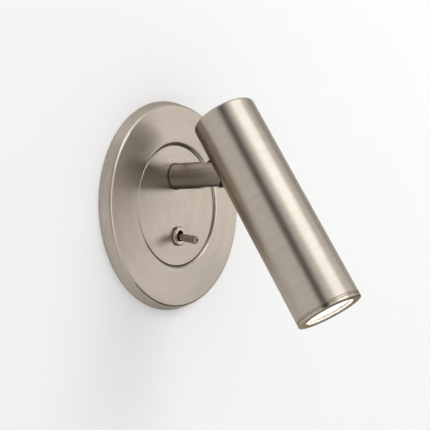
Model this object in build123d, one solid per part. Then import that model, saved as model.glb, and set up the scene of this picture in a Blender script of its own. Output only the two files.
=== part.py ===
from build123d import *
import os
from math import cos, radians, tan

# Bedside wall reading lamp. Millimetres.
# The lamp is modelled lying on its back: X across, Y up the wall, Z out of the wall ("out").
# Zero is the centre of the round back plate on the wall. STAND turns the finished pieces
# upright, so that the wall is the plane Y = 0 and the lamp stands out towards -Y.

# Fits
running = 0.05              # radial clearance of turning fits
touch = 0.05                # gap where two pieces meet
screw_loose = 0.1           # radial clearance of a screw in a plain hole
pattern_loose = 0.2         # the same where several screws have to line up
screw_end_gap = 0.2         # left under the end of a screw in a blind hole
head_edge = 0.5             # rounding of the screw heads
pan_slot = 0.7              # width of the slot in a pan head
pan_slot_depth = 0.45       # its depth, as a share of the head

# Back plate (canopy)
canopy_radius = 61.7
rim_land = 0.8              # straight foot of the rim against the wall
rim_draft = 2.2             # how far the rim leans in on its way to the face
rim_round = 1.5
canopy_out = 6.8            # face above the wall
sheet = 1.5                 # wall of the pressed plate
lip_round = 2.2             # soft inner edge around the disc
seat_out = 3.0              # ledge that carries the disc
ledge_clear = 0.75          # between the stop pin and the ledge
lug_gap = 0.5               # between the bracket and the plate's hook lug
lug_bite = 0.6              # how far the lug runs into the rim's wall

# Inner disc
disc_radius = 35.65
disc_gap = 0.3              # dark gap between disc and lip
disc_thick = 2.4
disc_round = 0.6
disc_screw_count = 3
disc_screw_start = 30.0     # angle of the first one
disc_screw_r = 1.5
disc_screw_head_thick = 1.0
disc_skin = 0.8             # metal left between the blind holes and the disc's front

# Wall bracket
bracket_thick = 1.2
bracket_outer = 56.2
bracket_inner = 37.6
slot_spacing = 85.0         # centres of the two slots for the box screws
slot_length = 12.0
slot_width = 4.6
tab_width = 10.0
tab_out = 4.4
hook_width = 7.0
hook_reach = 3.4
hook_short = 1.0            # hook's tip behind the bracket's outer edge
hook_gap = 0.3              # between the lug and the hook
hook_thick = 1.0
shelf_half = 10.0           # half width of the shelves that carry driver and terminal block
shelf_overlap = 2.0         # shelf under the ring, and short of the far edge of what it carries
lock_screw_r = 1.5
lock_screw_recess = 0.4
lock_screw_past = 2.2       # how far the screw's end stands inside the bracket's edge
lock_socket = 0.8
lock_socket_depth = 1.2

# Arm and swivel
arm_radius = 7.75
arm_up = 17.15              # arm above the centre of the plate
arm_bore = 5.0
washer_radius = 8.05
washer_thick = 0.5
washer_edge = 0.2
spindle_radius = 5.0
spindle_bore = 3.2
spindle_grip = 8.2          # length screwed into the arm
spindle_end = 1.5           # thread left past the lock nut
grommet_wall = 0.8
grommet_lip = 1.0
grommet_length = 4.0
bush_radius = 6.5
bush_flange_radius = 8.5
bush_flange = 0.9
spring_washer_thick = 0.4
spring_washer_height = 0.9
spring_washer_inset = 0.6   # behind the edge of the bush's flange
stop_washer_thick = 1.2
stop_washer_radius = 8.0
stop_tab_reach = 13.0
stop_tab_width = 3.0
stop_pin_radius = 1.2
stop_pin_circle = 11.4
nut_across_flats = 14.0
nut_thick = 4.0
lock_nut_thick = 2.6
nut_gap = 0.1
lock_nut_turn = 14.0

# Knuckle
pivot_out = 35.3            # tilt axis above the wall
fork_slot = 6.6
tongue_thick = 5.6
eye_radius = 6.3
tongue_heel = 1.9           # how far the tongue's heel stands back past the pivot
tongue_half = 8.9
tongue_round = 2.2
slot_clearance = 0.7        # between the tongue's heel and the root of the fork
swing_clearance = 0.4       # between the arm's round end and its pocket in the head
tilt_rest = 31.0            # head's lean from hanging straight down
tilt_in = -15.0
tilt_out = 60.0
pivot_radius = 2.0
pivot_head_radius = 3.1
pivot_head_thick = 1.3
pivot_head_sink = 0.8       # head's face below the side of the fork
pivot_head_edge = 0.3
pivot_socket = 1.45
pivot_socket_depth = 0.9
pivot_blind = 1.6           # metal left over the screw's blind end
tongue_root = 1.0           # tongue's run into the block past the pocket
knuckle_washer_inset = 1.2  # washers inside the edge of the tongue's eye
lead_channel = 3.6
lead_channel_high = 3.5     # along the head
lead_channel_rise = 0.8     # channel's upper side inside the round of the eye
lead_channel_clear = 0.15

# Head
head_radius = 18.75
head_wall = 1.8
head_shoulder = 0.75        # step in the bore that the heat sink rests on
head_above = 25.3           # closed end to pivot, along the head
head_below = 102.2          # pivot to the light end, along the head
head_setback = 3.2          # head's back to the pivot
head_top_thick = 2.5
head_top_round = 1.4
bore_end_round = 1.0
seam_chamfer = 0.2          # edges of the seam between head and end ring
window_gap = 0.2            # round the tongue, in the head's window
block_half_width = 10.5
block_depth = 7.8
block_above = 17.0
block_below = 14.6
block_fit = 0.05
block_screw_radius = 1.5
block_screw_head = 2.8
block_screw_above = 13.8
block_screw_below = 11.9
block_screw_head_thick = 1.1
block_screw_length = 9.0
block_screw_sink = 1.3      # head's seat below the back of the head
block_socket = 1.1

# Light engine
bezel_band = 2.9
bezel_groove_up = 1.7
groove_width = 0.4
groove_depth = 0.3
bezel_face = 0.9
bezel_edge = 0.5
bezel_lip_edge = 0.3
lens_opening = 14.4
lens_fit = 0.1              # round the lens, in the end ring
lens_thick = 2.0
lens_edge = 0.3
gasket_section = 0.6
spigot_length = 8.0
spigot_wall = 1.0
engine_fit = 0.05
sink_top = 40.0
sink_length = 28.0
sink_base = 5.0
sink_fins = 12
sink_fin_gap = 2.2
sink_hub = 8.0
pad_thick = 0.4
board_radius = 13.0
board_thick = 1.6
board_screw_circle = 9.8
board_screw_r = 1.25
board_screw_length = 5.0
board_screw_head = 2.2
board_screw_head_thick = 1.0
board_hole_depth = 4.0      # of the screw holes in the heat sink
lead_loose = 0.4            # round the lead, through sink and pad
pad_inset = 0.5             # pad inside the edge of the board
chip_radius = 4.5
chip_thick = 1.0
chip_edge = 0.4
reflector_throat = 5.6
reflector_wall = 0.9
reflector_flange = 1.0
reflector_step = 0.3        # mouth wider than the opening of the end ring
reflector_bulge = 1.6

# Toggle switch
switch_down = 18.1          # switch below the centre of the plate
dress_nut_radius = 5.75
dress_nut_thick = 1.8
dress_nut_round = 0.9
dress_nut_edge = 0.3
bushing_radius = 3.1
bushing_bore = 2.6
bushing_below = 2.3         # bushing's shoulder behind the wall plane
bushing_inset = 1.3         # bushing's end behind the dress nut's face
back_nut_flats = 8.0
back_nut_thick = 2.0
lock_washer_thick = 0.5
lock_washer_rim = 0.8       # past the flats of the nut
lock_washer_teeth = 8
tooth_slot = 1.0            # slots between the teeth
tooth_root = 1.1            # solid ring inside the slots
switch_width = 8.0
switch_height = 13.2
switch_depth = 9.6
switch_cover = 0.7
switch_cover_skirt = 4.0
switch_body_inset = 0.1     # body inside the cover's open sides
switch_well = 3.0           # room for the lever's tail
lug_spacing = 9.4
lug_length = 4.6
lug_width = 2.0
lug_thick = 0.8
lug_hole = 0.6
lug_hole_up = 1.3           # above the lug's end
lug_joint_up = 1.8          # where the leads are soldered, above the lug's end
lever_pivot_out = 3.4
lever_ball = 2.5
lever_neck = 2.1
lever_neck_length = 1.2
lever_tip = 2.35
lever_tip_length = 2.5
lever_tip_round = 0.7
lever_length = 16.0
lever_hollow = 1.15
lever_hollow_floor = 0.8
lever_hollow_edge = 0.3
lever_hollow_depth = 1.2
lever_tail = 4.0
lever_tail_radius = 0.9
lever_rest = 9.0            # down from straight out

# Driver, terminal block and leads
driver_width = 24.0
driver_height = 40.0
driver_depth = 17.0
driver_left = 12.0
driver_round = 2.0
driver_lid = 1.6
driver_seam = 0.5           # depth and height of the groove under the lid
driver_screw_spacing = 12.0
driver_screw_x = 20.0
block_width = 16.0
block_height = 22.0
block_thick = 12.0
block_right = -18.0
pole_pitch = 7.0
pole_bore = 1.4
pole_depth = 5.5
pole_groove = 1.0           # grooves between the poles
pole_groove_depth = 2.5
small_screw_r = 1.5
small_screw_head = 2.7
small_screw_head_thick = 1.2
small_screw_length = 5.0
pole_screw_r = 1.5
pole_screw_inset = 3.2      # from the ends of the block
pole_screw_sink = 1.2
pole_screw_clear = 0.4      # over the wire
pole_screw_slot = 0.6
pole_screw_slot_depth = 0.6
earth_screw_head = 3.4
earth_screw_head_thick = 1.6
earth_x = -32.0
earth_y = -32.0
lead_radius = 1.0
output_lead_radius = 1.4
lead_grip = 4.0             # length of a lead held in the terminal block
lead_bend = 0.45            # share of a run that each of its bends takes
lead_stub = 5.0             # straight run out of a terminal or a mouth
lead_slack = 3.0            # how far a free bend stands off the straight way
lead_turn = 2.0             # the head's lead turns this far before the head's axis
lead_run_in = 8.0           # and reaches the axis this far below the pivot
driver_live_up = -15.8      # where the leads enter the driver: up the wall and out of it
driver_live_out = -9.7
driver_neutral_up = -5.0
driver_output_up = 7.0
driver_low_out = -11.0

STAND = Rot(90, 0, 0)

# Derived places
disc_out = seat_out + disc_thick
opening_radius = disc_radius + disc_gap
ledge_radius = arm_up + stop_pin_circle + stop_pin_radius + ledge_clear
face_radius = canopy_radius - rim_draft
lock_screw_out = (rim_land + tab_out) / 2
rim_slope = rim_draft / (canopy_out - rim_land)
arm_foot = disc_out + washer_thick
bush_back = seat_out - bush_flange
stop_back = bush_back - spring_washer_height - stop_washer_thick
spindle_low = stop_back - nut_thick - nut_gap - lock_nut_thick - nut_gap - spindle_end
pivot_seat = arm_radius - pivot_head_thick - pivot_head_sink
fork_root = pivot_out - (tongue_heel**2 + tongue_half**2) ** 0.5 - slot_clearance
pocket_radius = arm_radius + swing_clearance
head_axis = head_setback + head_radius
upper_bore = head_radius - head_wall - head_shoulder
lower_bore = head_radius - head_wall
upper_bore_back = head_axis - upper_bore
channel_top = lead_channel_rise - eye_radius
knuckle_washer = (fork_slot - tongue_thick) / 2 - running
bezel_top = head_below - bezel_band
lens_radius = lower_bore - engine_fit - spigot_wall - lens_fit
lens_back = head_below - bezel_face - lens_thick
gasket_back = lens_back - 2 * gasket_section
sink_bottom = sink_top + sink_length
board_back = sink_bottom + pad_thick
board_front = board_back + board_thick
bushing_end = disc_out + dress_nut_thick - bushing_inset
lug_back = -bushing_below - switch_depth - lug_length

ARM = Pos(0, arm_up, 0)
SWITCH = Pos(0, -switch_down, 0)
HEAD = Pos(0, arm_up, pivot_out) * Rot(90 - tilt_rest, 0, 0)
HEAD_AXIS = HEAD * Pos(0, head_axis, 0)


def outline(*corners):
    """Closed face through corners (x, y), each rounded where a third value gives a radius."""
    points = [corner[:2] for corner in corners]
    radii = [corner[2] if len(corner) > 2 else 0 for corner in corners]
    return make_face(FilletPolyline(*points, radius=radii, close=True))


def turned(*corners):
    """Solid of revolution about Z from corners (radius, height)."""
    return revolve(Plane.XZ * outline(*corners), Axis.Z)


def tube(outer, inner, low, high):
    return turned((inner, low), (outer, low), (outer, high), (inner, high))


def rod(radius, low, high):
    return Pos(0, 0, low) * extrude(Circle(radius), high - low)


def block(x_low, x_high, y_low, y_high, z_low, z_high):
    sizes = (x_high - x_low, y_high - y_low, z_high - z_low)
    return Pos(x_low, y_low, z_low) * Box(*sizes, align=(Align.MIN, Align.MIN, Align.MIN))


def across(radius, x_low, x_high):
    """Rod along X."""
    return Rot(0, 90, 0) * rod(radius, x_low, x_high)


def hex_nut(across_flats, bore, low, high):
    face = RegularPolygon(across_flats / 2, 6, major_radius=False) - Circle(bore)
    prism = Pos(0, 0, low) * extrude(face, high - low)
    flat = across_flats / 2
    corner = flat / cos(radians(30))
    slope = (corner - flat) * tan(radians(30))
    chamfered = turned(
        (0, low),
        (flat, low),
        (corner, low + slope),
        (corner, high - slope),
        (flat, high),
        (0, high),
    )
    return prism & chamfered


def button(radius, thick, edge):
    """Disc standing on zero with its upper edge rounded."""
    return turned((0, 0), (radius, 0), (radius, thick, edge), (0, thick))


def cap_screw(shank, length, head, head_thick, socket):
    """Button screw along Z, its head's seat at zero and its shank below."""
    recess = Pos(0, 0, head_thick / 2) * extrude(RegularPolygon(socket, 6), head_thick)
    return rod(shank, -length, 0) + button(head, head_thick, head_edge) - recess


def pan_screw(shank, length, head, head_thick):
    """Slotted pan screw along Z, its head's seat at zero and its shank below."""
    floor = head_thick * (1 - pan_slot_depth)
    slot = block(-head, head, -pan_slot / 2, pan_slot / 2, floor, head_thick)
    return rod(shank, -length, 0) + button(head, head_thick, head_edge) - slot


def arm_envelope(half, angle, width):
    """Space of the arm's round end and shank, seen from the head's frame at one tilt."""
    reach = 3 * head_radius
    shank = block(-width / 2, width / 2, -half, half, -reach, 0)
    return Rot(angle - 90, 0, 0) * shank


def knuckle_pocket():
    """Room in the head for the arm's round end over the whole tilt."""
    width = 2 * pocket_radius
    room = across(pocket_radius, -pocket_radius, pocket_radius)
    for angle in (tilt_in, tilt_out):
        room += arm_envelope(pocket_radius, angle, width)
    return room


# ---------------------------------------------------------------- wall side


def canopy_shell():
    inner_face = canopy_out - sheet
    shell = turned(
        (canopy_radius, 0),
        (canopy_radius, rim_land),
        (face_radius, canopy_out, rim_round),
        (opening_radius, canopy_out, lip_round),
        (opening_radius, seat_out),
        (ledge_radius, seat_out),
        (ledge_radius, seat_out - sheet),
        (opening_radius + sheet, seat_out - sheet),
        (opening_radius + sheet, inner_face),
        (face_radius - sheet, inner_face),
        (canopy_radius - sheet, 0),
    )
    lug_low = bracket_outer - hook_reach
    lug_high = canopy_radius - sheet + lug_bite - rim_slope * seat_out
    half_lug = hook_width / 2
    lug = block(-half_lug, half_lug, lug_low, lug_high, bracket_thick + lug_gap, seat_out)
    lock_hole = lock_screw_place() * rod(lock_screw_r + screw_loose, bracket_outer, canopy_radius)
    screw_hole = rod(disc_screw_r + pattern_loose, seat_out - sheet, seat_out)
    return shell + lug - lock_hole - [place * screw_hole for place in disc_screw_places()]


def disc_screw_places():
    return PolarLocations((opening_radius + ledge_radius) / 2, disc_screw_count, disc_screw_start)


def lock_screw_place():
    """Axis of the lock screw, pointing down through the foot of the rim."""
    return Pos(0, 0, lock_screw_out) * Rot(90, 0, 0)


def centre_disc():
    disc = Pos(0, 0, seat_out) * button(disc_radius, disc_thick, disc_round)
    disc -= ARM * rod(bush_radius + touch, seat_out, disc_out)
    disc -= SWITCH * rod(bushing_radius + touch, seat_out, disc_out)
    pin_hole = ARM * Pos(0, stop_pin_circle, 0) * rod(stop_pin_radius, seat_out, disc_out - disc_skin)
    blind = rod(disc_screw_r, seat_out, disc_out - disc_skin)
    return disc - pin_hole - [place * blind for place in disc_screw_places()]


def disc_screws():
    length = sheet + disc_thick - disc_skin - screw_end_gap
    screw = Rot(180, 0, 0) * pan_screw(disc_screw_r, length, small_screw_head, disc_screw_head_thick)
    return [place * Pos(0, 0, seat_out - sheet) * screw for place in disc_screw_places()]


def wall_bracket():
    ring = tube(bracket_outer, bracket_inner, 0, bracket_thick)
    half_tab = tab_width / 2
    root = bracket_inner + shelf_overlap
    driver_shelf = block(driver_left + shelf_overlap, root, -shelf_half, shelf_half, 0, bracket_thick)
    block_shelf = block(-root, block_right + shelf_overlap, -shelf_half, shelf_half, 0, bracket_thick)
    tab_low = -bracket_outer
    lock_tab = block(-half_tab, half_tab, tab_low, tab_low + bracket_thick, 0, tab_out)
    hook_foot = bracket_outer - hook_reach - 2 * bracket_thick
    half_hook = hook_width / 2
    hook_low = seat_out + hook_gap
    hook_high = hook_low + hook_thick
    hook_leg = block(-half_hook, half_hook, hook_foot, hook_foot + bracket_thick, 0, hook_high)
    hook_tip = block(-half_hook, half_hook, hook_foot, bracket_outer - hook_short, hook_low, hook_high)
    plate = ring + driver_shelf + block_shelf + lock_tab + hook_leg + hook_tip
    for x in (-slot_spacing / 2, slot_spacing / 2):
        plate -= Pos(x, 0, 0) * extrude(SlotOverall(slot_length, slot_width), bracket_thick)
    plate -= lock_screw_place() * rod(lock_screw_r, hook_foot, bracket_outer)
    loose_hole = rod(small_screw_r + screw_loose, 0, bracket_thick)
    for y in (-driver_screw_spacing / 2, driver_screw_spacing / 2):
        plate -= Pos(driver_screw_x, y, 0) * loose_hole
    plate -= Pos(block_right - block_width / 2, 0, 0) * loose_hole
    plate -= Pos(earth_x, earth_y, 0) * rod(small_screw_r, 0, bracket_thick)
    return plate


def canopy_lock_screw():
    """Grub screw through the foot of the rim into the bracket's tab."""
    outer = canopy_radius - rim_slope * (lock_screw_out - rim_land) - lock_screw_recess
    screw = rod(lock_screw_r, bracket_outer - lock_screw_past, outer)
    socket = extrude(RegularPolygon(lock_socket, 6), lock_socket_depth)
    return lock_screw_place() * (screw - Pos(0, 0, outer - lock_socket_depth) * socket)


def earth_screw():
    screw = pan_screw(small_screw_r, bracket_thick, earth_screw_head, earth_screw_head_thick)
    return Pos(earth_x, earth_y, 0) * Rot(180, 0, 0) * screw


def arm_bush():
    body = turned(
        (spindle_radius + running, bush_back),
        (bush_flange_radius, bush_back),
        (bush_flange_radius, seat_out),
        (bush_radius, seat_out),
        (bush_radius, disc_out),
        (spindle_radius + running, disc_out),
    )
    return ARM * body


def swivel_stop_pin():
    return ARM * Pos(0, stop_pin_circle, 0) * rod(stop_pin_radius, stop_back, disc_out - disc_skin)


# ---------------------------------------------------------------- arm, turns about its own axis


def arm_base_washer():
    return ARM * turned(
        (spindle_radius + running, disc_out),
        (washer_radius, disc_out),
        (washer_radius, arm_foot, washer_edge),
        (spindle_radius + running, arm_foot),
    )


def arm_tube():
    """Bar with a long bore; its far end is a slotted fork, rounded about the tilt axis."""
    tip = pivot_out + arm_radius
    bar = rod(arm_radius, arm_foot, tip)
    side = block(-tip, tip, -arm_radius, arm_radius, arm_foot, pivot_out)
    side += Pos(0, 0, pivot_out) * across(arm_radius, -tip, tip)
    bar = bar & side
    bar -= rod(arm_bore + touch, arm_foot, fork_root)
    bar -= block(-fork_slot / 2, fork_slot / 2, -tip, tip, fork_root, tip)
    pivot = Pos(0, 0, pivot_out)
    bar -= pivot * across(pivot_radius, pivot_blind - arm_radius, arm_radius)
    bar -= pivot * across(pivot_head_radius + screw_loose, pivot_seat, arm_radius)
    return ARM * bar


def arm_spindle():
    return ARM * tube(spindle_radius, spindle_bore, spindle_low, arm_foot + spindle_grip)


def spindle_grommet():
    """Plastic sleeve that keeps the lead off the spindle's sharp end."""
    mouth = spindle_low - grommet_lip
    inner = spindle_bore - grommet_wall
    lip = spindle_radius - grommet_wall / 2
    sleeve = turned(
        (inner, mouth),
        (lip, mouth, grommet_wall / 2),
        (lip, spindle_low),
        (spindle_bore, spindle_low),
        (spindle_bore, spindle_low + grommet_length),
        (inner, spindle_low + grommet_length),
    )
    return ARM * sleeve


def swivel_spring_washer():
    """Conical friction spring between bush and stop washer."""
    high = bush_back
    low = high - spring_washer_height
    inner = spindle_radius + pattern_loose
    outer = bush_flange_radius - spring_washer_inset
    return ARM * turned(
        (inner, low),
        (outer, high - spring_washer_thick),
        (outer, high),
        (inner, low + spring_washer_thick),
    )


def swivel_stop_washer():
    high = stop_back + stop_washer_thick
    ring = tube(stop_washer_radius, spindle_radius, stop_back, high)
    half = stop_tab_width / 2
    root = (spindle_radius + stop_washer_radius) / 2
    return ARM * (ring + block(-half, half, -stop_tab_reach, -root, stop_back, high))


def spindle_nuts():
    low = stop_back - nut_thick
    main = hex_nut(nut_across_flats, spindle_radius, low, stop_back)
    lock_high = low - nut_gap
    lock = hex_nut(nut_across_flats, spindle_radius, lock_high - lock_nut_thick, lock_high)
    return [ARM * main, ARM * Rot(0, 0, lock_nut_turn) * lock]


def pivot_screw():
    shank = across(pivot_radius, pivot_blind - arm_radius + screw_end_gap, pivot_seat)
    socket = extrude(RegularPolygon(pivot_socket, 6), pivot_socket_depth)
    head = button(pivot_head_radius, pivot_head_thick, pivot_head_edge)
    head -= Pos(0, 0, pivot_head_thick - pivot_socket_depth) * socket
    return ARM * Pos(0, 0, pivot_out) * (shank + Pos(pivot_seat, 0, 0) * Rot(0, 90, 0) * head)


# ---------------------------------------------------------------- head, tilts about the pivot screw


def head_shell():
    top = -head_above
    shell = turned(
        (0, top),
        (head_radius, top, head_top_round),
        (head_radius, bezel_top - seam_chamfer),
        (head_radius - seam_chamfer, bezel_top),
        (lower_bore, bezel_top),
        (lower_bore, sink_top),
        (upper_bore, sink_top),
        (upper_bore, top + head_top_thick, bore_end_round),
        (0, top + head_top_thick),
    )
    shell = Pos(0, head_axis, 0) * shell
    back_half = block(-head_axis, head_axis, -head_axis, head_axis, top, head_below)
    shell -= knuckle_pocket() & back_half
    heel = tongue_half + window_gap
    side = tongue_thick / 2 + window_gap
    shell -= block(-side, side, 0, head_axis / 2, -heel, heel)
    outside = 2 * block_screw_sink
    for place in block_screw_places():
        shell -= place * rod(block_screw_radius + screw_loose, -block_screw_length, outside)
        shell -= place * rod(block_screw_head + pattern_loose, 0, outside)
    return HEAD * shell


def block_screw_places():
    """Seats of the block screws' heads, sunk in the head's back; the screws' axes point back."""
    heights = (-block_screw_above, block_screw_below)
    return [Pos(0, head_setback + block_screw_sink, z) * Rot(90, 0, 0) for z in heights]


def knuckle_block():
    """Saddle that backs the pocket from inside the head, with the tongue that takes the pivot."""
    bore = Pos(0, head_axis, 0) * rod(upper_bore - block_fit, -block_above, block_below)
    front = upper_bore_back + block_depth
    body = bore & block(-block_half_width, block_half_width, 0, front, -block_above, block_below)
    body -= knuckle_pocket()
    half = tongue_thick / 2
    root = pocket_radius + tongue_root
    heel = Plane.YZ * outline(
        (-tongue_heel, -tongue_half, tongue_round),
        (root, -tongue_half),
        (root, tongue_half),
        (-tongue_heel, tongue_half, tongue_round),
    )
    tongue = Pos(-half, 0, 0) * extrude(heel, tongue_thick) + across(eye_radius, -half, half)
    body += tongue
    body -= across(pivot_radius + running, -half, half)
    side = lead_channel / 2
    channel_low = channel_top - lead_channel_high
    body -= block(-side, side, -tongue_heel, front, channel_low, channel_top)
    hole = rod(block_screw_radius, -block_screw_length - screw_end_gap, 0)
    return HEAD * (body - [place * hole for place in block_screw_places()])


def knuckle_screws():
    screw = cap_screw(
        block_screw_radius, block_screw_length, block_screw_head, block_screw_head_thick, block_socket
    )
    return [HEAD * place * screw for place in block_screw_places()]


def knuckle_washers():
    low = tongue_thick / 2 + running / 2
    high = low + knuckle_washer
    ring = across(eye_radius - knuckle_washer_inset, low, high)
    ring -= across(pivot_radius + screw_loose, low, high)
    return [HEAD * ring, HEAD * Rot(0, 0, 180) * ring]


def heat_sink():
    radius = lower_bore - engine_fit
    core = rod(radius, sink_top, sink_bottom)
    half_gap = sink_fin_gap / 2
    gap = block(sink_hub, radius, -half_gap, half_gap, sink_top, sink_bottom - sink_base)
    core -= [Rot(0, 0, 360 / sink_fins * step) * gap for step in range(sink_fins)]
    core -= rod(output_lead_radius + lead_loose, sink_top, sink_bottom)
    hole = rod(board_screw_r, sink_bottom - board_hole_depth, sink_bottom)
    return HEAD_AXIS * (core - [place * hole for place in board_screw_places()])


def board_screw_places():
    """Axes of the two board screws, each behind a fin of the heat sink."""
    between = Rot(0, 0, 180 / sink_fins)
    return [between * Pos(x, 0, 0) for x in (-board_screw_circle, board_screw_circle)]


def thermal_pad():
    pad = tube(board_radius - pad_inset, output_lead_radius + lead_loose, sink_bottom, board_back)
    hole = rod(board_screw_r + pattern_loose, sink_bottom, board_back)
    return HEAD_AXIS * (pad - [place * hole for place in board_screw_places()])


def led_board():
    hole = rod(board_screw_r + screw_loose, board_back, board_front)
    board = rod(board_radius, board_back, board_front) - [place * hole for place in board_screw_places()]
    return HEAD_AXIS * board


def board_screws():
    screw = pan_screw(board_screw_r, board_screw_length, board_screw_head, board_screw_head_thick)
    return [HEAD_AXIS * place * Pos(0, 0, board_front) * screw for place in board_screw_places()]


def led_chip():
    return HEAD_AXIS * Pos(0, 0, board_front) * button(chip_radius, chip_thick, chip_edge)


def reflector():
    """Flared mirror cup between chip and lens, with a flange that centres it."""
    low = board_front + chip_thick
    high = gasket_back - reflector_flange
    mouth = lens_opening + reflector_step
    middle = (low + high) / 2
    inner_mid = (reflector_throat + mouth) / 2 + reflector_bulge
    profile = [
        ThreePointArc((reflector_throat, low), (inner_mid, middle), (mouth, gasket_back)),
        Line((mouth, gasket_back), (lens_radius, gasket_back)),
        Line((lens_radius, gasket_back), (lens_radius, high)),
        Line((lens_radius, high), (mouth + reflector_wall, high)),
        ThreePointArc(
            (mouth + reflector_wall, high),
            (inner_mid + reflector_wall, middle),
            (reflector_throat + reflector_wall, low),
        ),
        Line((reflector_throat + reflector_wall, low), (reflector_throat, low)),
    ]
    return HEAD_AXIS * revolve(Plane.XZ * make_face(profile), Axis.Z)


def lens():
    return HEAD_AXIS * Pos(0, 0, lens_back) * button(lens_radius, lens_thick, lens_edge)


def lens_gasket():
    centre = Pos(lens_radius - gasket_section, 0, lens_back - gasket_section)
    return HEAD_AXIS * revolve(centre * Rot(90, 0, 0) * Circle(gasket_section), Axis.Z)


def bezel_ring():
    """Screwed end ring: a thin face that keeps the lens, a grooved band and a spigot in the bore."""
    groove_high = head_below - bezel_groove_up
    groove_low = groove_high - groove_width
    spigot = lower_bore - engine_fit
    ring = turned(
        (head_radius - seam_chamfer, bezel_top + touch),
        (head_radius, bezel_top + touch + seam_chamfer),
        (head_radius, groove_low),
        (head_radius - groove_depth, (groove_low + groove_high) / 2),
        (head_radius, groove_high),
        (head_radius, head_below, bezel_edge),
        (lens_opening, head_below, bezel_lip_edge),
        (lens_opening, head_below - bezel_face),
        (spigot - spigot_wall, head_below - bezel_face),
        (spigot - spigot_wall, bezel_top - spigot_length),
        (spigot, bezel_top - spigot_length),
        (spigot, bezel_top + touch),
    )
    return HEAD_AXIS * ring


# ---------------------------------------------------------------- toggle switch


def switch_dress_nut():
    face = disc_out + dress_nut_thick
    thread = bushing_radius + touch
    nut = turned(
        (thread, disc_out),
        (dress_nut_radius - dress_nut_edge, disc_out),
        (dress_nut_radius, disc_out + dress_nut_edge),
        (dress_nut_radius, face, dress_nut_round),
        (thread, face, dress_nut_edge),
    )
    return SWITCH * nut


def switch_frame():
    """Threaded bushing and the folded steel cover that clasps the switch body."""
    low = -bushing_below
    bushing = tube(bushing_radius, bushing_bore, low - switch_cover, bushing_end)
    half_x = switch_width / 2
    half_y = switch_height / 2
    cover = block(-half_x, half_x, -half_y, half_y, low - switch_cover_skirt, low)
    inside_y = half_y - switch_cover
    cover -= block(-half_x, half_x, -inside_y, inside_y, low - switch_cover_skirt, low - switch_cover)
    cover -= rod(bushing_bore, low - switch_cover, low)
    return SWITCH * (cover + bushing)


def switch_body():
    low = -bushing_below
    half_x = switch_width / 2 - switch_body_inset
    inside_y = switch_height / 2 - switch_cover
    half_y = switch_height / 2
    upper = block(-half_x, half_x, -inside_y, inside_y, low - switch_cover_skirt, low - switch_cover)
    lower = block(-half_x, half_x, -half_y, half_y, low - switch_depth, low - switch_cover_skirt)
    well = rod(bushing_bore, low - switch_cover - switch_well, low - switch_cover)
    return SWITCH * (upper + lower - well)


def switch_terminals():
    half = lug_thick / 2
    side = lug_width / 2
    lug = block(-half, half, -side, side, lug_back, lug_back + lug_length)
    lug -= Pos(0, 0, lug_back + lug_hole_up) * across(lug_hole, -half, half)
    return [SWITCH * Pos(0, y, 0) * lug for y in (-lug_spacing / 2, lug_spacing / 2)]


def switch_back_nut():
    high = seat_out - lock_washer_thick
    nut = hex_nut(back_nut_flats, bushing_radius + touch, high - back_nut_thick, high)
    return SWITCH * nut


def switch_lock_washer():
    low = seat_out - lock_washer_thick
    outer = back_nut_flats / 2 + lock_washer_rim
    slot = block(bushing_radius + tooth_root, outer, -tooth_slot / 2, tooth_slot / 2, low, seat_out)
    ring = tube(outer, bushing_radius + touch, low, seat_out)
    ring -= [Rot(0, 0, 360 / lock_washer_teeth * step) * slot for step in range(lock_washer_teeth)]
    return SWITCH * ring


def toggle_lever():
    """Bat lever on a ball, with a turned hollow in its tip."""
    stem_start = (lever_ball**2 - lever_neck**2) ** 0.5
    stem = turned(
        (0, 0),
        (lever_neck, 0),
        (lever_neck, stem_start + lever_neck_length),
        (lever_tip, lever_length - lever_tip_length),
        (lever_tip, lever_length, lever_tip_round),
        (lever_hollow, lever_length, lever_hollow_edge),
        (lever_hollow_floor, lever_length - lever_hollow_depth),
        (0, lever_length - lever_hollow_depth),
    )
    tail = rod(lever_tail_radius, -lever_tail, 0)
    lever = stem + Sphere(lever_ball) + tail
    return SWITCH * Pos(0, 0, lever_pivot_out) * Rot(lever_rest, 0, 0) * lever


# ---------------------------------------------------------------- supply side, in the wall box


def driver_section(inset):
    """Rounded outline of the driver, smaller all round by an inset."""
    x_low = driver_left + inset
    x_high = driver_left + driver_width - inset
    half = driver_height / 2 - inset
    return outline(
        (x_low, -half, driver_round),
        (x_high, -half, driver_round),
        (x_high, half, driver_round),
        (x_low, half, driver_round),
    )


def led_driver():
    case = extrude(driver_section(0), -driver_depth)
    groove = driver_section(0) - driver_section(driver_seam)
    case -= Pos(0, 0, driver_lid - driver_depth) * extrude(groove, driver_seam)
    hole = rod(small_screw_r, -small_screw_length - screw_end_gap, 0)
    half = driver_screw_spacing / 2
    return case - [Pos(driver_screw_x, y, 0) * hole for y in (-half, half)]


def driver_screws():
    screw = pan_screw(small_screw_r, small_screw_length, small_screw_head, small_screw_head_thick)
    half = driver_screw_spacing / 2
    return [Pos(driver_screw_x, y, bracket_thick) * screw for y in (-half, half)]


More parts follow.
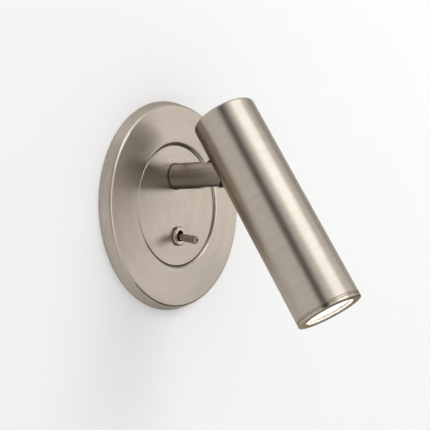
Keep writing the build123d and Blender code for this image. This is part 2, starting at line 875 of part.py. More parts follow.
def terminal_block():
    x_low = block_right - block_width
    half = block_height / 2
    body = block(x_low, block_right, -half, half, -block_thick, 0)
    half_groove = pole_groove / 2
    groove_floor = pole_groove_depth - block_thick
    groove = block(x_low, block_right, -half_groove, half_groove, -block_thick, groove_floor)
    body -= [Pos(0, y, 0) * groove for y in (-pole_pitch / 2, pole_pitch / 2)]
    for y in (-pole_pitch, 0, pole_pitch):
        for x in (x_low, block_right - pole_depth):
            body -= Pos(x, y, -block_thick / 2) * across(pole_bore, 0, pole_depth)
    hole = rod(pole_screw_r + pattern_loose, -block_thick, -block_thick / 2)
    body -= [place * hole for place in pole_screw_places()]
    mount_hole = rod(small_screw_r, -small_screw_length - screw_end_gap, 0)
    return body - Pos(block_right - block_width / 2, 0, 0) * mount_hole


def pole_screw_places():
    """Axes of the clamping screws, two to each pole."""
    across_block = (block_right - block_width + pole_screw_inset, block_right - pole_screw_inset)
    return [Pos(x, y, 0) for y in (-pole_pitch, 0, pole_pitch) for x in across_block]


def terminal_screws():
    foot = pole_screw_sink - block_thick
    screw = rod(pole_screw_r, foot, -block_thick / 2 - pole_bore - pole_screw_clear)
    half_slot = pole_screw_slot / 2
    screw -= block(-pole_screw_r, pole_screw_r, -half_slot, half_slot, foot, foot + pole_screw_slot_depth)
    return [place * screw for place in pole_screw_places()]


def block_screw():
    screw = pan_screw(small_screw_r, small_screw_length, small_screw_head, small_screw_head_thick)
    return Pos(block_right - block_width / 2, 0, bracket_thick) * screw


def lead(radius, *route):
    """Insulated lead along its route, with bends as wide as the runs between them allow."""
    points = [Vector(*point) for point in route]
    bends = []
    for before, here, after in zip(points, points[1:], points[2:]):
        turn = (here - before).get_angle(after - here)
        shorter = min((here - before).length, (after - here).length)
        bends.append(lead_bend * shorter / tan(radians(turn) / 2))
    path = FilletPolyline(*points, radius=bends)
    section = Plane(origin=path @ 0, z_dir=path % 0) * Circle(radius)
    return sweep(section, path)


def live_lead():
    lug_y = -switch_down + lug_spacing / 2
    lug_z = lug_back + lug_joint_up
    x_end = -lug_thick / 2 - touch
    return lead(
        lead_radius,
        (block_right - lead_grip, -pole_pitch, -block_thick / 2),
        (block_right + lead_stub, -pole_pitch, -block_thick / 2),
        (block_right + lead_stub + lead_slack, lug_y + lead_slack, lug_z + lead_slack),
        (x_end - lead_slack, lug_y, lug_z),
        (x_end, lug_y, lug_z),
    )


def switched_lead():
    lug_y = -switch_down - lug_spacing / 2
    lug_z = lug_back + lug_joint_up
    x_start = lug_thick / 2 + touch
    x_end = driver_left - touch
    return lead(
        lead_radius,
        (x_start, lug_y, lug_z),
        (x_start + lead_slack, lug_y, lug_z),
        (x_end - lead_stub, driver_live_up, driver_live_out),
        (x_end, driver_live_up, driver_live_out),
    )


def neutral_lead():
    x_end = driver_left - touch
    return lead(
        lead_radius,
        (block_right - lead_grip, 0, -block_thick / 2),
        (block_right + lead_stub + lead_slack, 0, -block_thick / 2),
        (x_end - lead_stub, driver_neutral_up, driver_low_out),
        (x_end, driver_neutral_up, driver_low_out),
    )


def output_lead():
    mouth = spindle_low - grommet_lip - touch
    x_start = driver_left - touch
    return lead(
        output_lead_radius,
        (x_start, driver_output_up, driver_low_out),
        (x_start - lead_stub, driver_output_up, driver_low_out),
        (lead_slack, arm_up - lead_slack, mouth - lead_stub - lead_slack / 2),
        (0, arm_up, mouth - lead_stub),
        (0, arm_up, mouth),
    )


def arm_lead():
    return ARM * rod(output_lead_radius, spindle_low - grommet_lip, fork_root)


def head_lead():
    channel = channel_top - output_lead_radius - lead_channel_clear
    return HEAD * lead(
        output_lead_radius,
        (0, -tongue_heel, channel),
        (0, head_axis - lead_turn, channel),
        (0, head_axis, lead_run_in),
        (0, head_axis, board_back - touch),
    )


NODES = (
    canopy_shell,
    centre_disc,
    disc_screws,
    wall_bracket,
    canopy_lock_screw,
    earth_screw,
    arm_bush,
    swivel_stop_pin,
    arm_base_washer,
    arm_tube,
    arm_spindle,
    spindle_grommet,
    swivel_spring_washer,
    swivel_stop_washer,
    spindle_nuts,
    pivot_screw,
    head_shell,
    knuckle_block,
    knuckle_screws,
    knuckle_washers,
    heat_sink,
    thermal_pad,
    led_board,
    board_screws,
    led_chip,
    reflector,
    lens,
    lens_gasket,
    bezel_ring,
    switch_dress_nut,
    switch_frame,
    switch_body,
    switch_terminals,
    switch_back_nut,
    switch_lock_washer,
    toggle_lever,
    led_driver,
    driver_screws,
    terminal_block,
    terminal_screws,
    block_screw,
    live_lead,
    switched_lead,
    neutral_lead,
    output_lead,
    arm_lead,
    head_lead,
)


def solids_of(shape):
    """Every solid of a piece, or of a group of like pieces."""
    if isinstance(shape, list):
        return [solid for piece in shape for solid in piece.solids()]
    return shape.solids()


os.makedirs("parts", exist_ok=True)
for make in NODES:
    pieces = [STAND * solid for solid in solids_of(make())]
    whole = pieces[0] if len(pieces) == 1 else Compound(children=pieces)
    export_step(whole, f"parts/{make.__name__}.step")
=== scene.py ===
from math import cos, pi, radians, sin

import bpy
from mathutils import Euler, Matrix, Vector


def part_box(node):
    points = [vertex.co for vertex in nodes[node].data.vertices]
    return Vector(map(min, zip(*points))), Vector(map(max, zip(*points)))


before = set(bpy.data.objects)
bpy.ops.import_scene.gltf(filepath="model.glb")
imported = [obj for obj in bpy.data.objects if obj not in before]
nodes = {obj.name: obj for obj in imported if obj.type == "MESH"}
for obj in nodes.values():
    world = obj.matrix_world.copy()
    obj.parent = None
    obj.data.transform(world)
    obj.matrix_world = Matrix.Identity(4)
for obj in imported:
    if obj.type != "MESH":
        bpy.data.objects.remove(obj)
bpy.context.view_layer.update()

MM = 0.001

# ---------------------------------------------------------------- the picture
# The camera stands at the lamp's left, about 0.6 m away and level with the middle of the
# plate, and leans over a little, as in the photograph.
CAMERA_AZIMUTH = radians(-53.675)
CAMERA_ELEVATION = radians(1.0)
CAMERA_ROLL = radians(-1.8)
CAMERA_PLACE = Vector((-462.747, -373.032, 3.945)) * MM
FOCAL_PIXELS = 1000.0
IMAGE_PIXELS = 430.0
SENSOR = 36.0

backward = Vector((
    sin(CAMERA_AZIMUTH) * cos(CAMERA_ELEVATION),
    -cos(CAMERA_AZIMUTH) * cos(CAMERA_ELEVATION),
    sin(CAMERA_ELEVATION),
))
level_right = Vector((0, 0, 1)).cross(backward).normalized()
level_up = backward.cross(level_right)
camera_right = cos(CAMERA_ROLL) * level_right + sin(CAMERA_ROLL) * level_up
camera_up = cos(CAMERA_ROLL) * level_up - sin(CAMERA_ROLL) * level_right
turn = Matrix((camera_right, camera_up, backward)).transposed()

bpy.ops.object.select_all(action="DESELECT")
bpy.ops.object.camera_add()
camera = bpy.context.object
camera.name = "camera"
camera.matrix_world = Matrix.Translation(CAMERA_PLACE) @ turn.to_4x4()
camera.data.sensor_width = SENSOR
camera.data.lens = SENSOR * FOCAL_PIXELS / IMAGE_PIXELS
camera.data.clip_start = 0.01
bpy.context.scene.camera = camera
bpy.context.scene.view_settings.view_transform = "Standard"


# ---------------------------------------------------------------- the studio
# A white wall that the lamp hangs on, a pale floor below it and one large soft lamp over
# the right shoulder. Three white cards and five dark ones are seen by reflections alone.
WALL_COLOUR = (0.93, 0.93, 0.93)
FLOOR_COLOUR = (0.90, 0.90, 0.89)
ROOM_LEVEL = 0.80
BACKGROUND_LEVEL = 1.0
WALL_BEHIND = 0.2 * MM
FLOOR_DOWN = 0.9
WALL_HOLE_RADIUS = 60.8 * MM    # for the wall box, hidden by the plate


def shader(tree, kind, inputs=None, **settings):
    """Adds one shader node; an input is a value or another node's socket."""
    made = tree.nodes.new("ShaderNode" + kind)
    for name, value in settings.items():
        setattr(made, name, value)
    for name, value in (inputs or {}).items():
        if isinstance(value, bpy.types.NodeSocket):
            tree.links.new(value, made.inputs[name])
        else:
            made.inputs[name].default_value = value
    return made


def rgba(colour):
    return (*colour, 1.0)


def combine(tree, how, first, second):
    """One math node; its result."""
    return shader(tree, "Math", {0: first, 1: second}, operation=how).outputs[0]


def span(tree, value, low, high, to_low=0.0, to_high=1.0, **settings):
    """Carries a value from one range over to another, held at both ends."""
    ends = {"Value": value, "From Min": low, "From Max": high, "To Min": to_low, "To Max": to_high}
    return shader(tree, "MapRange", ends, **settings).outputs["Result"]


def blend_colours(tree, share, low, high):
    """Colour between two, by a share from 0 to 1."""
    blend = shader(tree, "Mix", {0: share, 6: rgba(low), 7: rgba(high)}, data_type="RGBA")
    return blend.outputs[2]


world = bpy.data.worlds.new("studio_air")
bpy.context.scene.world = world
world.use_nodes = True
air = world.node_tree
light_path = shader(air, "LightPath")
seen = combine(air, "MAXIMUM", light_path.outputs["Is Camera Ray"], light_path.outputs["Is Glossy Ray"])
seen = combine(air, "MAXIMUM", seen, light_path.outputs["Is Transmission Ray"])
level = span(air, seen, 0.0, 1.0, ROOM_LEVEL, BACKGROUND_LEVEL)
air.nodes["Background"].inputs["Color"].default_value = (1, 1, 1, 1)
air.links.new(level, air.nodes["Background"].inputs["Strength"])


def stage_plane(name, size, place, turned):
    bpy.ops.object.select_all(action="DESELECT")
    bpy.ops.mesh.primitive_plane_add(size=size, location=place, rotation=turned)
    plane = bpy.context.object
    plane.name = name
    return plane


def plaster(name, colour, one_sided):
    """Matt paint; a one-sided wall isn't seen from behind, and is open where its box would be."""
    paint = bpy.data.materials.new(name)
    paint.use_nodes = True
    tree = paint.node_tree
    surface = tree.nodes["Principled BSDF"]
    surface.inputs["Base Color"].default_value = rgba(colour)
    surface.inputs["Roughness"].default_value = 0.9
    surface.inputs["Specular IOR Level"].default_value = 0.2
    if one_sided:
        place = shader(tree, "TexCoord").outputs["Object"]
        reach = shader(tree, "VectorMath", {0: place}, operation="LENGTH").outputs["Value"]
        hole = combine(tree, "LESS_THAN", reach, WALL_HOLE_RADIUS)
        behind = shader(tree, "NewGeometry").outputs["Backfacing"]
        gone = combine(tree, "MAXIMUM", hole, behind)
        clear = shader(tree, "BsdfTransparent")
        blend = shader(tree, "MixShader", {0: gone, 1: surface.outputs[0], 2: clear.outputs[0]})
        tree.links.new(blend.outputs[0], tree.nodes["Material Output"].inputs["Surface"])
    return paint


wall = stage_plane("wall", 8, (0, WALL_BEHIND, 0), (pi / 2, 0, 0))
wall.data.materials.append(plaster("wall_paint", WALL_COLOUR, True))
floor = stage_plane("floor", 8, (0, 0, -FLOOR_DOWN), (0, 0, 0))
floor.data.materials.append(plaster("floor_paint", FLOOR_COLOUR, False))


def card(name, direction, distance, size, strength, feather, colour=(1, 1, 1)):
    """A soft-edged card around the lamp, seen by reflections alone; it faces the lamp."""
    direction = Vector(direction).normalized()
    facing = (-direction).to_track_quat("Z", "Y").to_euler()
    bpy.ops.object.select_all(action="DESELECT")
    bpy.ops.mesh.primitive_plane_add(size=2, location=direction * distance, rotation=facing)
    sheet = bpy.context.object
    sheet.name = name
    sheet.scale = (size[0] / 2, size[1] / 2, 1)
    sheet.visible_camera = False
    sheet.visible_diffuse = False
    sheet.visible_shadow = False
    sheet.visible_transmission = False
    paper = bpy.data.materials.new(name + "_paper")
    paper.use_nodes = True
    tree = paper.node_tree
    tree.nodes.remove(tree.nodes["Principled BSDF"])
    place = shader(tree, "TexCoord").outputs["Object"]
    parts = shader(tree, "SeparateXYZ", {0: place})
    masks = []
    for axis, soft in (("X", feather[0]), ("Y", feather[1])):
        off_middle = shader(tree, "Math", {0: parts.outputs[axis]}, operation="ABSOLUTE").outputs[0]
        masks.append(span(tree, off_middle, 1.0 - soft, 1.0, 1.0, 0.0, interpolation_type="SMOOTHSTEP"))
    mask = combine(tree, "MULTIPLY", *masks)
    glow = shader(tree, "Emission", {"Color": rgba(colour), "Strength": strength})
    clear = shader(tree, "BsdfTransparent")
    blend = shader(tree, "MixShader", {0: mask, 1: clear.outputs[0], 2: glow.outputs[0]})
    tree.links.new(blend.outputs[0], tree.nodes["Material Output"].inputs["Surface"])
    sheet.data.materials.append(paper)
    return sheet


COOL = (0.93, 0.97, 1.0)
card("white_card", (0.0, -0.69, 0.72), 1.6, (1.70, 1.2), 2.7, (0.6, 0.5), COOL)
card("white_card_front", (0.2, -0.95, -0.15), 1.6, (1.0, 1.9), 2.4, (0.6, 0.6))
card("white_card_right", (0.85, -0.52, 0.0), 1.7, (1.3, 1.8), 1.35, (0.7, 0.7))
card("dark_card_left", (-0.77, -0.31, 0.53), 1.5, (0.84, 2.3), 0.01, (0.6, 0.25))
card("dark_card_right", (0.84, -0.22, 0.49), 1.6, (0.9, 1.2), 0.5, (0.7, 0.6))
card("dark_card_room", (-0.80, -0.59, -0.05), 1.8, (1.0, 1.2), 0.35, (0.7, 0.7))
card("dark_card_low", (0.42, -0.55, -0.72), 0.9, (1.1, 0.8), 0.02, (0.5, 0.5))
card("dark_card_under", (0.77, -0.04, -0.64), 0.42, (0.6, 0.55), 0.03, (0.4, 0.4))

KEY_PLACE = Vector((0.7, -1.3, 1.0))
bpy.ops.object.select_all(action="DESELECT")
bpy.ops.object.light_add(type="AREA", location=KEY_PLACE)
key = bpy.context.object
key.name = "soft_lamp"
key.data.shape = "DISK"
key.data.size = 1.1
key.data.energy = 9.0
key.rotation_euler = (-KEY_PLACE).to_track_quat("-Z", "Y").to_euler()
key.visible_camera = False
key.visible_glossy = False


# ---------------------------------------------------------------- back plate
# The canopy is pressed from steel sheet: a sloping rim, a flat ring and a rolled lip. It is
# brushed on a turntable and plated with satin nickel, so its lines run round the middle.
NICKEL = (0.500, 0.442, 0.378)
NICKEL_DARK = (0.415, 0.360, 0.302)
EDGE_TINT = (0.62, 0.60, 0.58)
PLATE_LINES = 1800.0
WAVE_RELIEF = 0.1 * MM


def new_group(name, inputs, outputs):
    """An empty shader node group with named inputs (name, kind, value) and outputs (name, kind)."""
    group = bpy.data.node_groups.new(name, "ShaderNodeTree")
    for label, kind, value in inputs:
        socket = group.interface.new_socket(label, in_out="INPUT", socket_type="NodeSocket" + kind)
        if value is not None:
            socket.default_value = value
    for label, kind in outputs:
        group.interface.new_socket(label, in_out="OUTPUT", socket_type="NodeSocket" + kind)
    start = group.nodes.new("NodeGroupInput")
    end = group.nodes.new("NodeGroupOutput")
    return group, start.outputs, end.inputs


def turned_grain():
    """Fine lines left by turning or brushing round Z: the same grain on faces and on sides."""
    group, start, end = new_group(
        "turned_grain",
        [("Vector", "Vector", None), ("Lines", "Float", PLATE_LINES), ("Wrap", "Float", 1.5)],
        [("Grain", "Float"), ("Bands", "Float"), ("Smudge", "Float")],
    )
    parts = shader(group, "SeparateXYZ", {0: start["Vector"]})
    flat = shader(group, "CombineXYZ", {"X": parts.outputs["X"], "Y": parts.outputs["Y"]})
    reach = shader(group, "VectorMath", {0: flat.outputs[0]}, operation="LENGTH")
    feed = combine(group, "ADD", reach.outputs["Value"], parts.outputs["Z"])
    around = shader(group, "VectorMath", {0: flat.outputs[0]}, operation="NORMALIZE")
    around = shader(group, "VectorMath", {0: around.outputs[0], "Scale": start["Wrap"]}, operation="SCALE")
    around = shader(group, "SeparateXYZ", {0: around.outputs[0]})

    def lines(scale_factor, detail):
        step = combine(group, "MULTIPLY", feed, start["Lines"])
        step = combine(group, "MULTIPLY", step, scale_factor)
        place = shader(group, "CombineXYZ", {"X": step, "Y": around.outputs["X"], "Z": around.outputs["Y"]})
        settings = {"Vector": place.outputs[0], "Scale": 1.0, "Detail": detail, "Roughness": 0.6}
        return shader(group, "TexNoise", settings).outputs["Fac"]

    group.links.new(lines(1.0, 3.0), end["Grain"])
    group.links.new(lines(0.12, 2.0), end["Bands"])
    waves = {"Vector": start["Vector"], "Scale": 38.0, "Detail": 3.0, "Roughness": 0.55}
    smudge = shader(group, "TexNoise", waves)
    group.links.new(smudge.outputs["Fac"], end["Smudge"])
    return group


TURNED_GRAIN = turned_grain()


def turned_place(tree, centre, lean):
    """Object coordinates measured from an axis: centre is a point on it, lean turns Z onto it."""
    place = shader(tree, "TexCoord").outputs["Object"]
    settings = {"Vector": place, "Location": centre, "Rotation": lean}
    return shader(tree, "Mapping", settings, vector_type="TEXTURE").outputs[0]


def brushed_nickel(
    name, centre, lean, roughness, lines, streak, stretch=0.75, tint=NICKEL, tint_low=NICKEL_DARK
):
    """Satin nickel brushed round an axis: centre is a point on it, lean turns Z onto it."""
    metal = bpy.data.materials.new(name)
    metal.use_nodes = True
    tree = metal.node_tree
    surface = tree.nodes["Principled BSDF"]
    place = shader(tree, "TexCoord").outputs["Object"]
    grain = shader(tree, "Group", node_tree=TURNED_GRAIN)
    tree.links.new(turned_place(tree, centre, lean), grain.inputs["Vector"])
    grain.inputs["Lines"].default_value = lines
    tone = combine(tree, "ADD", grain.outputs["Grain"], grain.outputs["Bands"])
    tone = span(tree, tone, 0.75, 1.25, 0.5 - streak, 0.5 + streak)
    tree.links.new(blend_colours(tree, tone, tint_low, tint), surface.inputs["Base Color"])
    surface.inputs["Roughness"].default_value = roughness
    waves = {"Height": grain.outputs["Smudge"], "Strength": 0.5, "Distance": WAVE_RELIEF}
    bump = shader(tree, "Bump", waves)
    tree.links.new(bump.outputs[0], surface.inputs["Normal"])
    surface.inputs["Metallic"].default_value = 1.0
    surface.inputs["Specular Tint"].default_value = rgba(EDGE_TINT)
    surface.inputs["Anisotropic"].default_value = stretch
    axis = Euler(lean).to_matrix() @ Vector((0, 0, 1))
    reach = shader(tree, "VectorMath", {0: place, 1: centre}, operation="SUBTRACT")
    around = shader(tree, "VectorMath", {0: tuple(axis), 1: reach.outputs[0]}, operation="CROSS_PRODUCT")
    normal = shader(tree, "TexCoord").outputs["Normal"]
    across = shader(tree, "VectorMath", {0: normal, 1: around.outputs[0]}, operation="CROSS_PRODUCT")
    across = shader(
        tree, "VectorTransform", {0: across.outputs[0]},
        vector_type="VECTOR", convert_from="OBJECT", convert_to="WORLD",
    )
    tree.links.new(across.outputs[0], surface.inputs["Tangent"])
    return metal


def finish_node(name, material):
    """A CAD node keeps its shape and takes this material all over."""
    mesh = nodes[name].data
    mesh.materials.clear()
    mesh.materials.append(material)
    mesh.polygons.foreach_set("material_index", [0] * len(mesh.polygons))


TO_ROOM = (pi / 2, 0, 0)        # turns Z to -Y, out of the wall
finish_node("canopy_shell", brushed_nickel("nickel_plate", (0, 0, 0), TO_ROOM, 0.29, PLATE_LINES, 0.30))
finish_node("centre_disc", brushed_nickel("nickel_disc", (0, 0, 0), TO_ROOM, 0.28, PLATE_LINES, 0.30))


# ---------------------------------------------------------------- arm
# A turned bar with a slotted, rounded end. It stands on a thin black nylon washer, and
# turns with the threaded spindle inside it.
ARM_UP = sum(corner.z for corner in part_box("arm_base_washer")) / 2
ARM_CENTRE = (0, 0, ARM_UP)
ARM_NICKEL = (0.390, 0.345, 0.300)
ARM_NICKEL_DARK = (0.330, 0.288, 0.245)
finish_node("arm_tube", brushed_nickel(
    "nickel_arm", ARM_CENTRE, TO_ROOM, 0.28, 2400.0, 0.14, 0.4, ARM_NICKEL, ARM_NICKEL_DARK,
))
SKIN_GRAIN = 900.0
SKIN_RELIEF = 0.02 * MM


def cast_skin():
    """Faint clouds of tone and a fine grain, as a mould, a casting or a plating bath leaves."""
    group, start, end = new_group(
        "cast_skin",
        [("Vector", "Vector", None), ("Fineness", "Float", SKIN_GRAIN)],
        [("Clouds", "Float"), ("Skin", "Float")],
    )
    clouds = {"Vector": start["Vector"], "Scale": 90.0, "Detail": 4.0, "Roughness": 0.6}
    pores = {"Vector": start["Vector"], "Scale": start["Fineness"], "Detail": 2.0, "Roughness": 0.5}
    group.links.new(shader(group, "TexNoise", clouds).outputs["Fac"], end["Clouds"])
    group.links.new(shader(group, "TexNoise", pores).outputs["Fac"], end["Skin"])
    return group


CAST_SKIN = cast_skin()


def plain_finish(name, colour, colour_low, roughness, metallic=0.0, grain=SKIN_GRAIN, strength=0.25):
    """A moulded, cast or plated surface: two close colours and a fine skin, and uneven gloss
    where it isn't metal."""
    finish = bpy.data.materials.new(name)
    finish.use_nodes = True
    tree = finish.node_tree
    surface = tree.nodes["Principled BSDF"]
    place = shader(tree, "TexCoord").outputs["Object"]
    skin = shader(tree, "Group", node_tree=CAST_SKIN)
    tree.links.new(place, skin.inputs["Vector"])
    skin.inputs["Fineness"].default_value = grain
    mixed = blend_colours(tree, skin.outputs["Clouds"], colour_low, colour)
    tree.links.new(mixed, surface.inputs["Base Color"])
    if metallic:
        surface.inputs["Roughness"].default_value = roughness
    else:
        rough = span(tree, skin.outputs["Clouds"], 0.3, 0.7, roughness - 0.05, roughness + 0.06)
        tree.links.new(rough, surface.inputs["Roughness"])
    relief = {"Height": skin.outputs["Skin"], "Strength": strength, "Distance": SKIN_RELIEF}
    bump = shader(tree, "Bump", relief)
    tree.links.new(bump.outputs[0], surface.inputs["Normal"])
    surface.inputs["Metallic"].default_value = metallic
    return finish


BLACK = (0.020, 0.020, 0.020)
BLACK_LOW = (0.012, 0.012, 0.012)
finish_node("arm_base_washer", plain_finish("black_nylon", (0.022, 0.021, 0.020), BLACK_LOW, 0.42))
SCREW_NICKEL = (0.50, 0.45, 0.39)
finish_node("pivot_screw", plain_finish("plated_screw", SCREW_NICKEL, (0.38, 0.33, 0.28), 0.24, 1.0))


# ---------------------------------------------------------------- head
# A turned aluminium tube with a closed top, brushed on the lathe and plated like the plate.
# The end ring screws in below a fine seam, and a V groove runs round it. The knuckle's
# block, on the side of the tube, is a black casting.
PIVOT = Vector((0, -35.3, 17.15)) * MM
HEAD_LEAN = radians(31.0)
HEAD_AXIS_OFF = 21.95 * MM
head_out = Vector((0, -cos(HEAD_LEAN), sin(HEAD_LEAN)))
head_down = Vector((0, -sin(HEAD_LEAN), -cos(HEAD_LEAN)))
HEAD_CENTRE = tuple(PIVOT + head_out * HEAD_AXIS_OFF)
HEAD_TURN = (pi - HEAD_LEAN, 0, 0)      # turns Z down the head to the light
finish_node("head_shell", brushed_nickel("nickel_head", HEAD_CENTRE, HEAD_TURN, 0.30, 1600.0, 0.28, 0.6))


def down_head(tree):
    """Distance down the head's axis, from the pivot's height."""
    return shader(tree, "SeparateXYZ", {0: turned_place(tree, HEAD_CENTRE, HEAD_TURN)}).outputs["Z"]


def over_base_colour(material, share, colour):
    """Lays another colour over what a material already has, by a mask."""
    tree = material.node_tree
    surface = tree.nodes["Principled BSDF"]
    below = surface.inputs["Base Color"].links[0].from_socket
    mixed = shader(tree, "Mix", {0: share, 6: below, 7: rgba(colour)}, data_type="RGBA")
    tree.links.new(mixed.outputs[2], surface.inputs["Base Color"])


# Painted shade: the ring's end face and the last half millimetre before it take a darker brown than the
# nickel.
RING_END_PAINTED_SHADE = (0.33, 0.27, 0.21)
RING_EDGE_TINT = (0.50, 0.43, 0.35)
RING_END_DEEP = 0.5 * MM
ring = brushed_nickel("nickel_ring", HEAD_CENTRE, HEAD_TURN, 0.22, 2400.0, 0.15)
ring_end = max(
    (vertex.co - Vector(HEAD_CENTRE)).dot(head_down) for vertex in nodes["bezel_ring"].data.vertices
)
painted_shade_at_end = span(
    ring.node_tree, down_head(ring.node_tree), ring_end - RING_END_DEEP, ring_end - 0.4 * RING_END_DEEP
)
over_base_colour(ring, painted_shade_at_end, RING_END_PAINTED_SHADE)
ring.node_tree.nodes["Principled BSDF"].inputs["Specular Tint"].default_value = rgba(RING_EDGE_TINT)
finish_node("bezel_ring", ring)
finish_node("knuckle_block", plain_finish(
    "black_casting", (0.020, 0.019, 0.018), (0.011, 0.010, 0.010), 0.38, grain=1500.0,
))


# ---------------------------------------------------------------- light engine
# A white board with a yellow phosphor chip, a flared cup around it with painted light on it
# and a clear disc in front with a painted glow, held by a black ring of rubber.
WARM = (1.0, 0.90, 0.76)
GLOW = 6.0
CUP_THROAT = 80 * MM    # down the head, from the pivot's height
CUP_MOUTH = 99 * MM
LENS_DARK = 0.76        # shares of the radius, between which the disc's painted glow rises
LENS_BRIGHT = 0.90


def lit(name, colour, strength):
    """A surface with light of its own, in close dots of phosphor."""
    glow = bpy.data.materials.new(name)
    glow.use_nodes = True
    tree = glow.node_tree
    surface = tree.nodes["Principled BSDF"]
    place = shader(tree, "TexCoord").outputs["Object"]
    dots = shader(tree, "TexVoronoi", {"Vector": place, "Scale": 1100.0})
    phosphor = blend_colours(tree, dots.outputs["Distance"], colour, tuple(0.92 * c for c in colour))
    tree.links.new(phosphor, surface.inputs["Base Color"])
    tree.links.new(phosphor, surface.inputs["Emission Color"])
    surface.inputs["Emission Strength"].default_value = strength
    return glow


finish_node("led_chip", lit("lit_phosphor", WARM, GLOW))
finish_node("led_board", plain_finish("white_board", (0.85, 0.85, 0.82), (0.80, 0.80, 0.77), 0.4))
finish_node("board_screws", plain_finish("board_zinc", (0.70, 0.70, 0.71), (0.55, 0.55, 0.56), 0.3, 1.0))
finish_node("heat_sink", plain_finish("sink_aluminium", (0.72, 0.72, 0.73), (0.62, 0.62, 0.63), 0.35, 1.0))
finish_node("thermal_pad", plain_finish("grey_pad", (0.42, 0.43, 0.45), (0.36, 0.37, 0.39), 0.7))
BLACK_RUBBER = plain_finish("black_rubber", BLACK, BLACK_LOW, 0.6)
finish_node("lens_gasket", BLACK_RUBBER)


def painted_light_cup():
    """Vapour-coated cup with painted light: an emission, stronger towards its throat, stands in for the
    chip's light on it.
    """
    cup = bpy.data.materials.new("painted_light_cup")
    cup.use_nodes = True
    tree = cup.node_tree
    surface = tree.nodes["Principled BSDF"]
    place = shader(tree, "TexCoord").outputs["Object"]
    # painted light: near white at the throat, fading to a dim brown at the mouth
    glow = shader(tree, "ValToRGB")
    glow.color_ramp.elements[0].position = 0.55
    glow.color_ramp.elements[0].color = (1.0, 0.97, 0.92, 1)
    glow.color_ramp.elements[1].color = (0.50, 0.41, 0.35, 1)
    tree.links.new(span(tree, down_head(tree), CUP_THROAT, CUP_MOUTH), glow.inputs["Fac"])
    tree.links.new(glow.outputs["Color"], surface.inputs["Emission Color"])
    surface.inputs["Emission Strength"].default_value = 1.5
    ripple = shader(tree, "TexNoise", {"Vector": place, "Scale": 260.0, "Detail": 2.0})
    waves = {"Height": ripple.outputs["Fac"], "Strength": 0.3, "Distance": WAVE_RELIEF}
    bump = shader(tree, "Bump", waves)
    tree.links.new(bump.outputs[0], surface.inputs["Normal"])
    surface.inputs["Base Color"].default_value = (0.85, 0.80, 0.74, 1)
    surface.inputs["Metallic"].default_value = 1.0
    surface.inputs["Roughness"].default_value = 0.25
    return cup


def clear_disc():
    """Clear acrylic with a trace of haze, and a painted glow on its outer part that stands in for the light
    from inside.
    """
    disc = bpy.data.materials.new("clear_disc")
    disc.use_nodes = True
    tree = disc.node_tree
    surface = tree.nodes["Principled BSDF"]
    place = shader(tree, "TexCoord").outputs["Object"]
    haze = shader(tree, "TexNoise", {"Vector": place, "Scale": 160.0, "Detail": 3.0})
    tree.links.new(span(tree, haze.outputs["Fac"], 0.3, 0.7, 0.02, 0.09), surface.inputs["Roughness"])
    surface.inputs["Base Color"].default_value = (0.98, 0.98, 0.97, 1)
    surface.inputs["Transmission Weight"].default_value = 1.0
    surface.inputs["IOR"].default_value = 1.49
    apart = shader(tree, "SeparateXYZ", {0: turned_place(tree, HEAD_CENTRE, HEAD_TURN)})
    flat = shader(tree, "CombineXYZ", {"X": apart.outputs["X"], "Y": apart.outputs["Y"]})
    reach = shader(tree, "VectorMath", {0: flat.outputs[0]}, operation="LENGTH")
    lens_radius = (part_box("lens")[1].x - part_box("lens")[0].x) / 2
    edge = span(tree, reach.outputs["Value"], LENS_DARK * lens_radius, LENS_BRIGHT * lens_radius)
    # painted glow: an emission, near black in the middle and pale towards the rim
    light = blend_colours(tree, edge, (0.03, 0.03, 0.03), (0.62, 0.60, 0.57))
    tree.links.new(light, surface.inputs["Emission Color"])
    surface.inputs["Emission Strength"].default_value = 1.0
    return disc


finish_node("reflector", painted_light_cup())
finish_node("lens", clear_disc())


# ---------------------------------------------------------------- toggle switch
# A small bat-handle switch. Its round dress nut is plated like the plate, and the lever
# is a darker, aged bronze, with a turned hollow in its end.
SWITCH_CENTRE = tuple((a + b) / 2 for a, b in zip(*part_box("switch_dress_nut")))
finish_node("switch_dress_nut", brushed_nickel("nickel_nut", SWITCH_CENTRE, TO_ROOM, 0.20, 3000.0, 0.15))
finish_node("toggle_lever", plain_finish(
    "bronze_lever", (0.47, 0.39, 0.31), (0.41, 0.33, 0.26), 0.25, 1.0, strength=0.1,
))
ZINC_BRIGHT = (0.66, 0.66, 0.68)
ZINC_DULL = (0.52, 0.52, 0.55)
ZINC = plain_finish("zinc_plating", ZINC_BRIGHT, ZINC_DULL, 0.30, 1.0)
BUSHING_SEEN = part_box("switch_dress_nut")[1].y      # back of the dress nut


def bushing_painted_shade():
    """The switch's zinc-plated cover, with painted shade on its threaded bushing, darkest at the front
    where it sits in the dress nut's hole.
    """
    cover = plain_finish("switch_cover", ZINC_BRIGHT, ZINC_DULL, 0.30, 1.0)
    tree = cover.node_tree
    place = shader(tree, "TexCoord").outputs["Object"]
    depth = shader(tree, "SeparateXYZ", {0: place}).outputs["Y"]
    # painted shade: near black in front of the dress nut's back, fading towards the wall
    over_base_colour(cover, span(tree, depth, BUSHING_SEEN, 0.0, 1.0, 0.0), (0.035, 0.032, 0.030))
    return cover


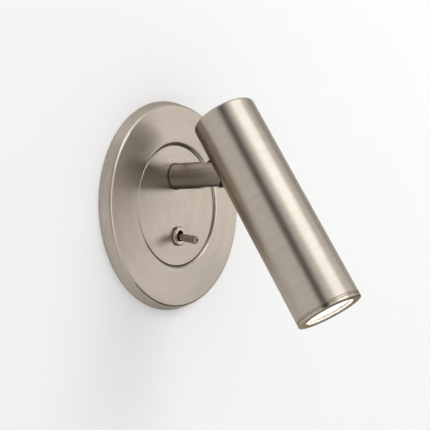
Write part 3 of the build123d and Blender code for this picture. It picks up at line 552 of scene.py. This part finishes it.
BLUED = plain_finish("blued_spring", (0.20, 0.20, 0.22), (0.12, 0.12, 0.15), 0.32, 1.0)
finish_node("switch_frame", bushing_painted_shade())
finish_node("switch_back_nut", ZINC)
finish_node("switch_lock_washer", BLUED)
finish_node("switch_body", plain_finish(
    "black_phenolic", (0.035, 0.035, 0.038), (0.020, 0.020, 0.022), 0.45,
))
finish_node("switch_terminals", plain_finish(
    "silvered_brass", (0.80, 0.77, 0.70), (0.62, 0.58, 0.50), 0.30, 1.0,
))


# ---------------------------------------------------------------- swivel and bracket
# Behind the disc the spindle carries a white acetal bush, a blued spring washer, the stop
# washer and two nuts. These last are zinc-plated steel, and so is the stamped bracket that
# is screwed to the wall box.
ACETAL = plain_finish("white_acetal", (0.84, 0.83, 0.79), (0.78, 0.77, 0.72), 0.4)
for name in (
    "wall_bracket", "disc_screws", "swivel_stop_pin", "swivel_stop_washer", "spindle_nuts",
    "arm_spindle", "knuckle_screws", "driver_screws", "block_screw", "terminal_screws",
):
    finish_node(name, ZINC)
for name in ("arm_bush", "knuckle_washers"):
    finish_node(name, ACETAL)
finish_node("swivel_spring_washer", BLUED)
finish_node("spindle_grommet", BLACK_RUBBER)
finish_node("earth_screw", plain_finish("yellow_brass", (0.72, 0.55, 0.25), (0.58, 0.42, 0.17), 0.28, 1.0))
finish_node("canopy_lock_screw", plain_finish("plated_grub", SCREW_NICKEL, (0.36, 0.31, 0.26), 0.28, 1.0))


# ---------------------------------------------------------------- supply side
# In the wall box: the moulded driver, the three-pole terminal block and the leads, each in
# the colour of its line. The lead to the light runs on through the arm and the head.
finish_node("led_driver", plain_finish(
    "driver_case", (0.82, 0.82, 0.80), (0.76, 0.76, 0.74), 0.5, grain=1800.0,
))
finish_node("terminal_block", plain_finish(
    "terminal_moulding", (0.84, 0.83, 0.78), (0.78, 0.77, 0.71), 0.35,
))
WHITE_SHEATH = ((0.80, 0.79, 0.76), (0.74, 0.73, 0.69))
INSULATION = {
    "live_lead": ((0.17, 0.075, 0.035), (0.13, 0.055, 0.025)),
    "switched_lead": ((0.025, 0.025, 0.027), (0.015, 0.015, 0.016)),
    "neutral_lead": ((0.035, 0.13, 0.42), (0.028, 0.10, 0.34)),
    "output_lead": WHITE_SHEATH,
    "arm_lead": WHITE_SHEATH,
    "head_lead": WHITE_SHEATH,
}
for name, colours in INSULATION.items():
    finish_node(name, plain_finish(name + "_sheath", *colours, 0.35))
